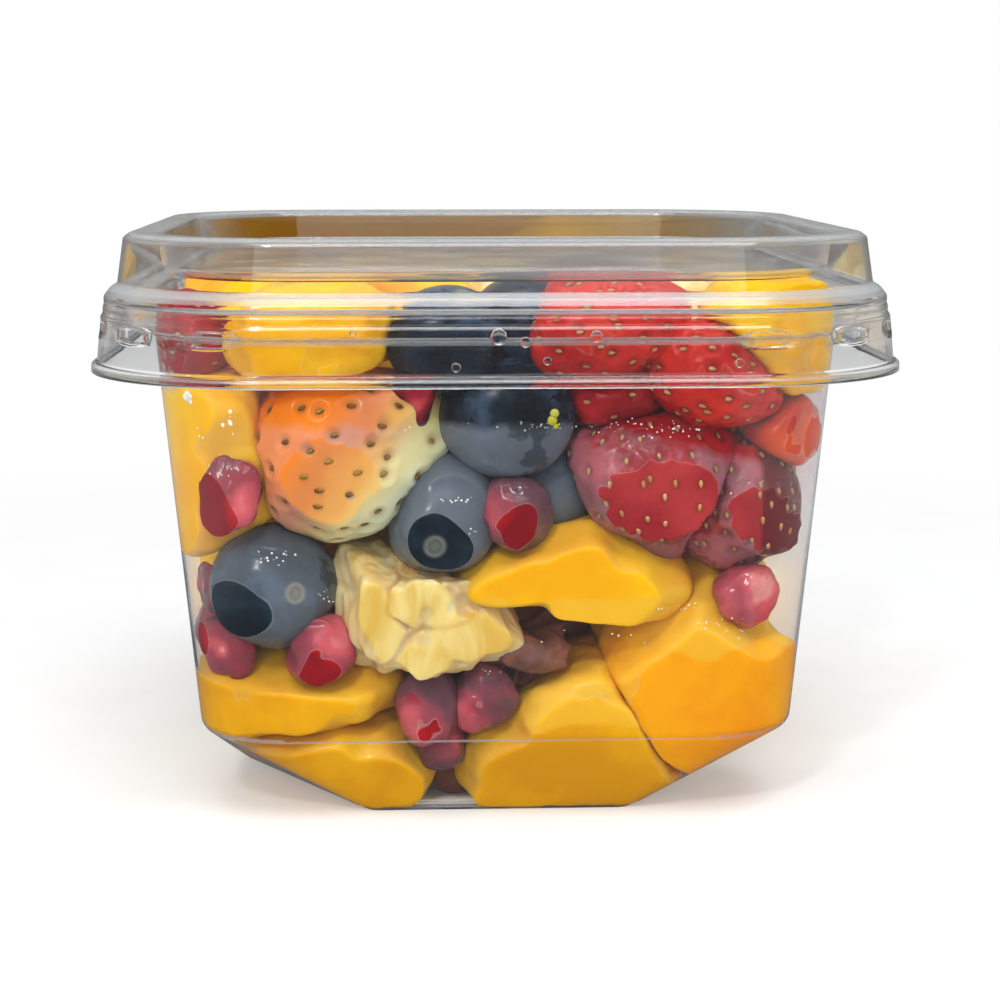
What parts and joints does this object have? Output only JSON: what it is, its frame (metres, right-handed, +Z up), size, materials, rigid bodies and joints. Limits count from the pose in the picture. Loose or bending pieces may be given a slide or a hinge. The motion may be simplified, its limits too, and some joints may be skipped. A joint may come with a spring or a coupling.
{
  "type": "fruit cup",
  "caption": "Clear square plastic tub with a fitted lid, packed with mixed cut fruit: mango, strawberry, blueberry, pomegranate seeds and pineapple.",
  "frame": {"origin": "middle of the tub's base, on the surface it stands on", "axes": "+Z up; the side shown in the source view faces -Y"},
  "size_m": [0.1152, 0.1152, 0.0833],
  "materials": {
    "tub_plastic": "clear, thermoformed, glossy",
    "lid_plastic": "clear, thermoformed, glossy",
    "mango_flesh": "wet cut fruit",
    "mango_ripe": "wet cut fruit",
    "pineapple_flesh": "wet fibrous cut fruit",
    "peach_flesh": "wet cut fruit",
    "orange_flesh": "wet cut fruit",
    "strawberry_red": "wet, with seeds in pits",
    "strawberry_pale": "wet, with seeds in pits",
    "blueberry_skin": "smooth, with a thin bloom",
    "aril_skin": "smooth, juicy, half clear",
    "fruit_middle": "wet cut fruit"
  },
  "bodies": {
    "root": {"tub": "tub_plastic", "lid": "lid_plastic", "mango_corner": "mango_flesh", "mango_rim_left": "mango_flesh", "strawberry_corner": "strawberry_red", "strawberry_pale": "strawberry_pale", "aril_upper_left": "aril_skin", "blueberry_left": "blueberry_skin", "aril_left_a": "aril_skin", "aril_left_b": "aril_skin", "aril_left_c": "aril_skin", "aril_middle_left": "aril_skin", "mango_low_left": "mango_flesh", "mango_floor_left": "mango_flesh", "pineapple_middle": "pineapple_flesh", "blueberry_middle": "blueberry_skin", "blueberry_upper": "blueberry_skin", "blueberry_rim_a": "blueberry_skin", "blueberry_rim_b": "blueberry_skin", "blueberry_behind": "blueberry_skin", "aril_centre": "aril_skin", "aril_upper": "aril_skin", "mango_crescent": "mango_flesh", "peach_middle": "peach_flesh", "aril_low_a": "aril_skin", "aril_low_b": "aril_skin", "aril_low_c": "aril_skin", "mango_floor_front": "mango_flesh", "mango_orange": "mango_ripe", "strawberry_front": "strawberry_red", "strawberry_right": "strawberry_red", "strawberry_rim_a": "strawberry_red", "strawberry_rim_b": "strawberry_red", "mango_rim_right": "mango_flesh", "orange_right": "orange_flesh", "aril_right": "aril_skin", "strawberry_dark": "strawberry_red", "strawberry_left": "strawberry_red", "mango_left": "mango_flesh", "blueberry_left_side": "blueberry_skin", "pineapple_left": "pineapple_flesh", "mango_left_top": "mango_flesh", "mango_back_a": "mango_flesh", "strawberry_back_a": "strawberry_red", "blueberry_back_a": "blueberry_skin", "blueberry_back_b": "blueberry_skin", "mango_back_b": "mango_ripe", "mango_back_c": "mango_flesh", "mango_back_d": "mango_flesh", "strawberry_back_b": "strawberry_red", "mango_right": "mango_flesh", "strawberry_right_side": "strawberry_red", "blueberry_right_side": "blueberry_skin", "pineapple_right": "pineapple_flesh", "mango_corner_back": "mango_flesh", "mango_top": "mango_flesh", "strawberry_top": "strawberry_red", "pineapple_top": "pineapple_flesh", "blueberry_top": "blueberry_skin", "fruit_middle": "fruit_middle"}
  },
  "joints": []
}
